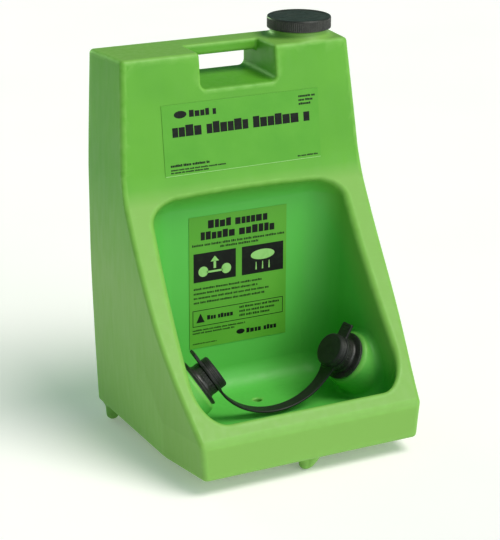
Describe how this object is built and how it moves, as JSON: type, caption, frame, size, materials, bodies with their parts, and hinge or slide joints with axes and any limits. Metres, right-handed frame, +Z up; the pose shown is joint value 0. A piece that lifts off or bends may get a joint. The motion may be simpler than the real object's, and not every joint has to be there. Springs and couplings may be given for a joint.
{
  "type": "eyewash station",
  "caption": "Portable gravity-fed eyewash station: moulded water tank with handle, filler cap, front bowl and two angled nozzles with strap-linked rubber caps.",
  "frame": {"origin": "on the floor under the middle of the station's outer box, feet at z = 0", "axes": "+X to the viewer's right when facing the bowl, +Y from the bowl to the flat back, +Z up"},
  "size_m": [0.3938, 0.343, 0.6],
  "materials": {
    "tank_plastic": "satin moulded polyethylene, safety green",
    "black_plastic": "satin black moulded plastic",
    "black_rubber": "soft satin black rubber",
    "grey_rubber": "matt grey rubber seal",
    "white_plastic": "satin white plastic",
    "steel_mesh": "fine stainless mesh",
    "label_film": "printed clear-backed film, dark print on green"
  },
  "bodies": {
    "tank": {"tank_shell": "tank_plastic", "front_label": "label_film", "instruction_label": "label_film", "nozzle_body_left": "black_plastic", "nozzle_gasket_left": "grey_rubber", "lock_washer_left": "white_plastic", "lock_nut_left": "black_plastic", "spray_plate_left": "white_plastic", "inlet_screen_left": "steel_mesh", "nozzle_body_right": "black_plastic", "nozzle_gasket_right": "grey_rubber", "lock_washer_right": "white_plastic", "lock_nut_right": "black_plastic", "spray_plate_right": "white_plastic", "inlet_screen_right": "steel_mesh"},
    "cap_liner": {"cap_liner": "grey_rubber", "vent_plug": "white_plastic"},
    "filler_cap": {"filler_cap": "black_plastic"},
    "pull_strap": {"pull_strap": "black_rubber"},
    "nozzle_cap_left": {"nozzle_cap_left": "black_rubber", "cap_seal_left": "grey_rubber"},
    "nozzle_cap_right": {"nozzle_cap_right": "black_rubber", "cap_seal_right": "grey_rubber"}
  },
  "joints": [
    {"name": "cap_lift", "type": "slide", "parent": "tank", "child": "cap_liner", "axis": [0, 0, 1], "range_m": [0, 0.08]},
    {"name": "cap_turn", "type": "hinge", "parent": "cap_liner", "child": "filler_cap", "pos_m": [0.1278, 0.12295, 0.59], "axis": [0, 0, 1], "range_deg": [0, 540]},
    {"name": "strap_pull", "type": "slide", "parent": "tank", "child": "pull_strap", "axis": [0, -0.2277, 0.9737], "range_m": [0, 0.01561], "deforming": ["pull_strap"]},
    {"name": "left_cap_release", "type": "slide", "parent": "tank", "child": "nozzle_cap_left", "axis": [0.83, -0.127, 0.5432], "range_m": [0, 0.028]},
    {"name": "right_cap_release", "type": "slide", "parent": "tank", "child": "nozzle_cap_right", "axis": [-0.83, -0.127, 0.5432], "range_m": [0, 0.028]}
  ],
  "couplings": [
    {"joint": "left_cap_release", "follows": "strap_pull", "ratio": 1.7927},
    {"joint": "right_cap_release", "follows": "strap_pull", "ratio": 1.7927}
  ]
}
